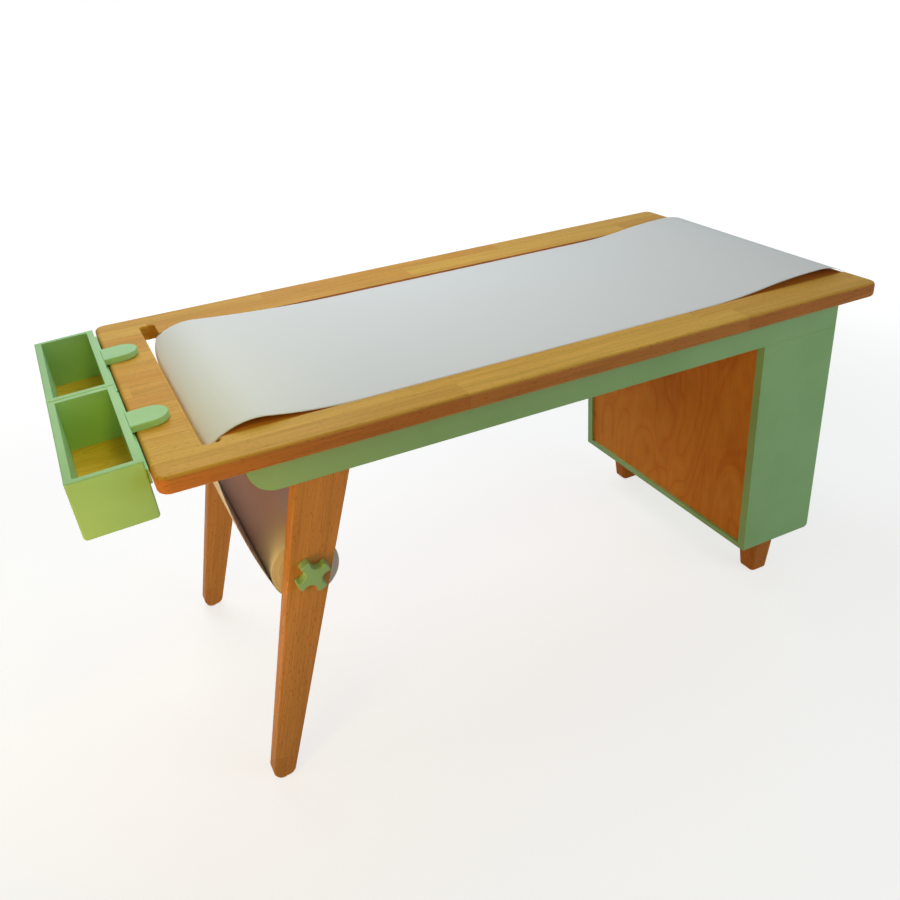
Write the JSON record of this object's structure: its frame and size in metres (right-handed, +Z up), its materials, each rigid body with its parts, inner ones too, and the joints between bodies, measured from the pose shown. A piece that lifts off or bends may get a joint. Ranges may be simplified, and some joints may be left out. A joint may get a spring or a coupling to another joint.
{
  "type": "drawing table",
  "caption": "Low children's drawing table with a paper roll under one end, a paper channel along the top, hanging boxes at that end and an open cabinet at the other.",
  "frame": {"origin": "on the floor under the middle of the whole table", "axes": "+X along the table from the hanging boxes to the cabinet, +Y from the near long side to the far one, +Z up"},
  "size_m": [1.2354, 0.6, 0.5862],
  "materials": {
    "beech_board": "clear satin lacquer on edge-glued beech",
    "beech_leg": "clear satin lacquer on beech",
    "green_paint": "satin green paint on board",
    "birch_ply": "clear lacquer on rotary-cut ply",
    "glide_plastic": "moulded",
    "screw_steel": "zinc plated",
    "core_cardboard": "raw",
    "wound_paper": "uncoated",
    "sheet_paper": "uncoated"
  },
  "bodies": {
    "table": {"tabletop": "beech_board", "near_apron": "green_paint", "far_apron": "green_paint", "near_leg": "beech_leg", "far_leg": "beech_leg", "leg_glides": "glide_plastic", "near_cleat": "beech_board", "far_cleat": "beech_board", "apron_screws": "screw_steel", "top_screws": "screw_steel", "cabinet_near_side": "green_paint", "cabinet_far_side": "green_paint", "cabinet_bottom": "green_paint", "cabinet_top": "green_paint", "cabinet_back_panel": "birch_ply", "cabinet_shelf": "green_paint", "shelf_pins": "screw_steel", "cabinet_dowels": "beech_board", "near_foot": "beech_leg", "far_foot": "beech_leg", "foot_bolts": "screw_steel", "foot_washers": "screw_steel", "foot_nuts": "screw_steel", "foot_glides": "glide_plastic", "paper_sheet": "sheet_paper"},
    "axle": {"roll_axle": "beech_board", "near_knob": "green_paint", "far_knob": "green_paint"},
    "roll": {"roll_core": "core_cardboard", "paper_roll": "wound_paper"},
    "near_box": {"near_box_near_wall": "green_paint", "near_box_far_wall": "green_paint", "near_box_outer_wall": "green_paint", "near_box_inner_wall": "green_paint", "near_box_floor": "birch_ply", "near_box_tongue": "green_paint", "near_box_peg": "beech_board", "near_box_strip": "green_paint"},
    "far_box": {"far_box_near_wall": "green_paint", "far_box_far_wall": "green_paint", "far_box_outer_wall": "green_paint", "far_box_inner_wall": "green_paint", "far_box_floor": "birch_ply", "far_box_tongue": "green_paint", "far_box_peg": "beech_board", "far_box_strip": "green_paint"}
  },
  "joints": [
    {"name": "axle_turn", "type": "hinge", "parent": "table", "child": "axle", "pos_m": [-0.35457, 0, 0.352], "axis": [0, 1, 0], "continuous": true},
    {"name": "roll_turn", "type": "hinge", "parent": "table", "child": "roll", "pos_m": [-0.35457, 0, 0.3417], "axis": [0, 1, 0], "continuous": true},
    {"name": "near_box_lift", "type": "slide", "parent": "table", "child": "near_box", "axis": [0, 0, 1], "range_m": [0, 0.1]},
    {"name": "far_box_lift", "type": "slide", "parent": "table", "child": "far_box", "axis": [0, 0, 1], "range_m": [0, 0.1]}
  ]
}
